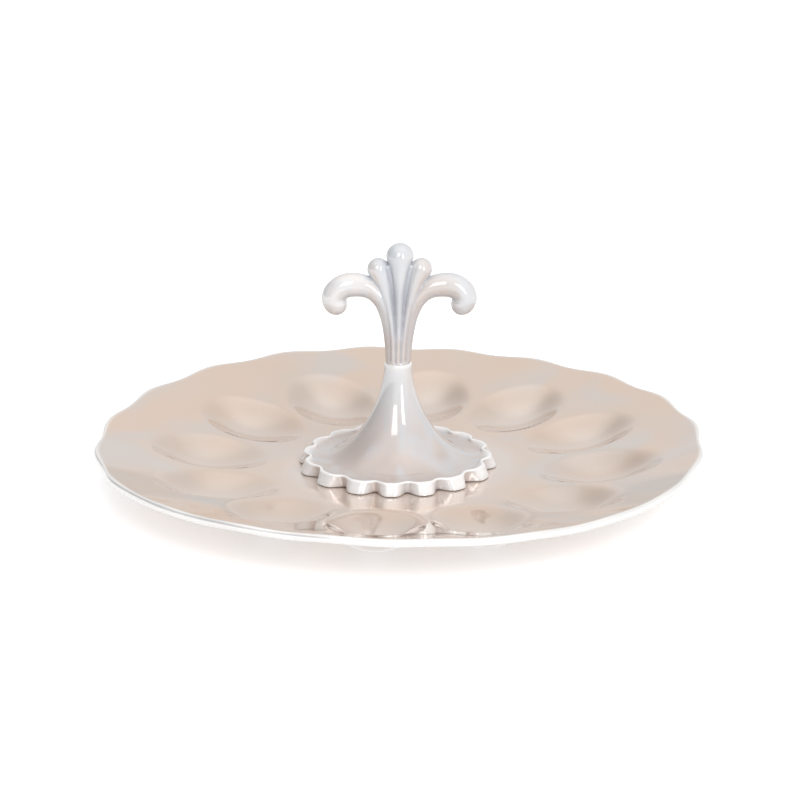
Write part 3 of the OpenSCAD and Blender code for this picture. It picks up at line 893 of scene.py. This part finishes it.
low_thread = np.arange(ROD_LOW + ROD_CHAMFER, LOW_THREAD_TO, THREAD_PITCH / 4)
high_thread = np.arange(HIGH_THREAD_FROM, ROD_TOP - ROD_CHAMFER, THREAD_PITCH / 4)
rod = lay_section("rod_threaded", [(0, ROD_LOW), (ROD_R - ROD_CHAMFER, ROD_LOW)]
                  + [(ROD_R, z) for z in (*low_thread, *high_thread)]
                  + [(ROD_R - ROD_CHAMFER, ROD_TOP), (0, ROD_TOP)])
spin_round(rod, steps=48)
place = points_of(rod)
radius, height = np.hypot(place[:, 0], place[:, 1]), place[:, 2]
share = height / THREAD_PITCH - np.arctan2(place[:, 1], place[:, 0]) / (2 * math.pi)
threaded = (radius > ROD_R - 0.1) * ((height < LOW_THREAD_TO) | (height > HIGH_THREAD_FROM))
valley = np.abs(share % 1 - 0.5) * 2 * threaded
place[:, :2] *= (1 - THREAD_CUT * valley / np.maximum(radius, 1))[:, None]
move_points(rod, place)
smooth(rod, degrees=25)
report(rod)

# %% [markdown]
# The washers, the gasket and the insert keep their measured solids. Steel, brass, rubber and
# silicone share one group: a fine grain that mixes two shades and two degrees of roughness.

# %% Grain group for the fixings
grain, grain_in, grain_out = new_group(
    "fine_grain",
    [("Light", "NodeSocketColor", (0.8, 0.8, 0.8, 1)), ("Dark", "NodeSocketColor", (0.5, 0.5, 0.5, 1)),
     ("Scale", "NodeSocketFloat", 900.0), ("Smooth", "NodeSocketFloat", 0.25),
     ("Rough", "NodeSocketFloat", 0.45)],
    [("Color", "NodeSocketColor"), ("Roughness", "NodeSocketFloat"), ("Height", "NodeSocketFloat")])
grain_noise = grain.nodes.new("ShaderNodeTexNoise")
grain.links.new(grain.nodes.new("ShaderNodeTexCoord").outputs["Object"], grain_noise.inputs["Vector"])
grain.links.new(grain_in.outputs["Scale"], grain_noise.inputs["Scale"])
grain_share = spread(grain, grain_noise.outputs["Fac"], 0.3, 0.7)
grain_colour = blend_colours(grain, grain_share, grain_in.outputs["Light"], grain_in.outputs["Dark"])
rough_range = grain.nodes.new("ShaderNodeMapRange")
grain.links.new(grain_share, rough_range.inputs["Value"])
grain.links.new(grain_in.outputs["Smooth"], rough_range.inputs["To Min"])
grain.links.new(grain_in.outputs["Rough"], rough_range.inputs["To Max"])
grain.links.new(grain_colour, grain_out.inputs["Color"])
grain.links.new(rough_range.outputs["Result"], grain_out.inputs["Roughness"])
grain.links.new(grain_share, grain_out.inputs["Height"])
print("nodes in the grain group:", len(grain.nodes))

# %% Finishes of the fixings
def grained(name, light, dark, scale, least, most, metallic=0.0):
    """A material with a fine grain between two shades and between two degrees of roughness."""
    material, tree, shader = principled(name, Metallic=metallic)
    values = {"Light": (*light, 1), "Dark": (*dark, 1), "Scale": scale, "Smooth": least, "Rough": most}
    place_group(tree, shader, grain, values, bump=0.15, distance=0.0001)
    return material


steel = grained("brushed_steel", (0.66, 0.67, 0.69), (0.5, 0.51, 0.53), 1500, 0.22, 0.38, metallic=1.0)
brass = grained("yellow_brass", (0.78, 0.6, 0.28), (0.6, 0.45, 0.2), 1300, 0.25, 0.4, metallic=1.0)
black_rubber = grained("black_rubber", (0.035, 0.035, 0.035), (0.02, 0.02, 0.02), 2200, 0.6, 0.75)
clear_silicone = grained("milky_silicone", (0.78, 0.78, 0.76), (0.7, 0.7, 0.69), 1200, 0.35, 0.5)
dress(nut, steel, "nut")
dress(rod, steel, "tie_rod")
kept_solids = {"steel_washer": steel, "thread_insert": brass, "soft_washer": black_rubber,
               "base_gasket": clear_silicone, "neck_washer": clear_silicone}
for node, material in kept_solids.items():
    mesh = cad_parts[node].data
    mesh.materials.clear()
    mesh.materials.append(material)
print("solids that only get a finish:", len(kept_solids))

# %% [markdown]
# ## Floor
#
# The platter stands on a white table in a white room. The floor is matte and glows a little to the
# camera, so its shadow stays pale without more light on the object, which would wash the glaze out.
# The glaze mirrors the floor as plain white.

# %% Floor
FLOOR_GLOW = 0.4

bpy.ops.object.select_all(action="DESELECT")
bpy.ops.mesh.primitive_plane_add(size=12, location=(0, 2, -0.02 * MM))
floor = bpy.context.object
floor.name = "floor"
bpy.ops.object.transform_apply(location=True, rotation=True, scale=True)
floor_paint, tree, shader = principled("floor_paint", Roughness=0.9, Specular_IOR_Level=0.0,
                                       Base_Color=(0.925, 0.95, 0.985, 1))


def mix_shaders(tree, share, first, second):
    """A Mix Shader node, which shows the first at 0 and the second at 1."""
    node = tree.nodes.new("ShaderNodeMixShader")
    for socket, source in zip(node.inputs, (share, first, second)):
        tree.links.new(source, socket)
    return node.outputs[0]


path = tree.nodes.new("ShaderNodeLightPath")
glow = tree.nodes.new("ShaderNodeEmission")
glow_share = number_math(tree, "MULTIPLY", path.outputs["Is Camera Ray"], FLOOR_GLOW)
tree.links.new(glow_share, glow.inputs["Strength"])
both = tree.nodes.new("ShaderNodeAddShader")
tree.links.new(shader.outputs[0], both.inputs[0])
tree.links.new(glow.outputs[0], both.inputs[1])
white = tree.nodes.new("ShaderNodeEmission")
mirrored = number_math(tree, "MAXIMUM", path.outputs["Is Glossy Ray"], path.outputs["Is Transmission Ray"])
surface = mix_shaders(tree, mirrored, both.outputs[0], white.outputs[0])
tree.links.new(surface, tree.nodes["Material Output"].inputs["Surface"])
floor.data.materials.append(floor_paint)
print("floor below the dish in mm:", -round(floor.data.vertices[0].co.z / MM, 2))

# %% [markdown]
# ## World
#
# A plain white world would leave the glaze without form, and a photographed studio would need a
# picture. So the world reads the direction of each ray, whose X, Y and Z run from -1 to 1, from left
# to right, near to far and down to up. The glaze mirrors a bright ceiling, greyer walls, a dark
# screen at the left and a thin dark strip low behind the platter, which give it darker edges. The
# camera sees plain white, and matte surfaces get one even fill.

# %% World
SCREEN_GREY = 0.1
FILL = 0.62

world = bpy.data.worlds.new("studio")
scene.world = world
world.use_nodes = True
tree = world.node_tree
tree.nodes.clear()
axes = tree.nodes.new("ShaderNodeSeparateXYZ")
tree.links.new(tree.nodes.new("ShaderNodeTexCoord").outputs["Generated"], axes.inputs[0])
walls = tree.nodes.new("ShaderNodeValToRGB")
tree.links.new(axes.outputs["Z"], walls.inputs[0])
for up, grey in ((0.3, 0.77), (0.74, 0.76)):
    walls.color_ramp.elements.new(up).color = (grey, grey, grey, 1)
walls.color_ramp.elements[0].color = (0.9, 0.9, 0.9, 1)
walls.color_ramp.elements[-1].position = 0.96
left = number_math(tree, "MULTIPLY", spread(tree, axes.outputs["X"], -0.85, -0.2, to_low=0.75, to_high=0),
                   spread(tree, axes.outputs["Z"], 0.6, 0.9, to_low=1, to_high=0))
behind = number_math(tree, "MULTIPLY", spread(tree, axes.outputs["Y"], 0.94, 0.99, to_low=0, to_high=0.3),
                     spread(tree, axes.outputs["Z"], 0.12, 0.3, to_low=1, to_high=0))
screens = number_math(tree, "MAXIMUM", left, behind)
studio = blend_colours(tree, screens, walls.outputs[0], (SCREEN_GREY, SCREEN_GREY, SCREEN_GREY, 1))
path = tree.nodes.new("ShaderNodeLightPath")
studio = blend_colours(tree, path.outputs["Is Camera Ray"], studio, (1, 1, 1, 1))
fill = tree.nodes.new("ShaderNodeBackground")
fill.inputs["Color"].default_value = (1, 0.995, 0.99, 1)
fill.inputs["Strength"].default_value = FILL
room = tree.nodes.new("ShaderNodeBackground")
tree.links.new(studio, room.inputs["Color"])
seen = number_math(tree, "MAXIMUM", path.outputs["Is Camera Ray"], path.outputs["Is Glossy Ray"])
seen = number_math(tree, "MAXIMUM", seen, path.outputs["Is Transmission Ray"])
surface = mix_shaders(tree, seen, fill.outputs[0], room.outputs[0])
tree.links.new(surface, tree.nodes.new("ShaderNodeOutputWorld").inputs["Surface"])
print("nodes in the world:", len(tree.nodes))

# %% [markdown]
# ## Lamps
#
# One broad sun from the front draws the shadow, and isn't mirrored. Two tall lamps draw the bright
# streaks on the handle, as the softboxes of a studio do. Point lamps would draw only small dots.

# %% Lamps
def softbox(name, where, aim, width, height, watts):
    """A rectangular lamp at one place that faces another, in metres."""
    bpy.ops.object.light_add(type="AREA", location=where)
    lamp = bpy.context.object
    lamp.name = name
    lamp.data.shape = "RECTANGLE"
    lamp.data.size = width
    lamp.data.size_y = height
    lamp.data.energy = watts
    lamp.rotation_euler = (Vector(aim) - Vector(where)).to_track_quat("-Z", "Y").to_euler()


bpy.ops.object.light_add(type="SUN", rotation=(math.radians(35), math.radians(24), 0))
key = bpy.context.object
key.name = "key_light"
key.data.angle = math.radians(50)
key.data.energy = 1.6
key.visible_glossy = False
handle_middle = (0, 0, 0.06)
softbox("front_left_lamp", (-0.30, -1.25, 0.9), handle_middle, width=0.5, height=0.75, watts=2.5)
softbox("front_right_lamp", (0.66, -1.3, 0.55), handle_middle, width=0.34, height=0.95, watts=2.5)
scene.view_settings.view_transform = "Standard"
print("lamps:", len(bpy.data.lights))
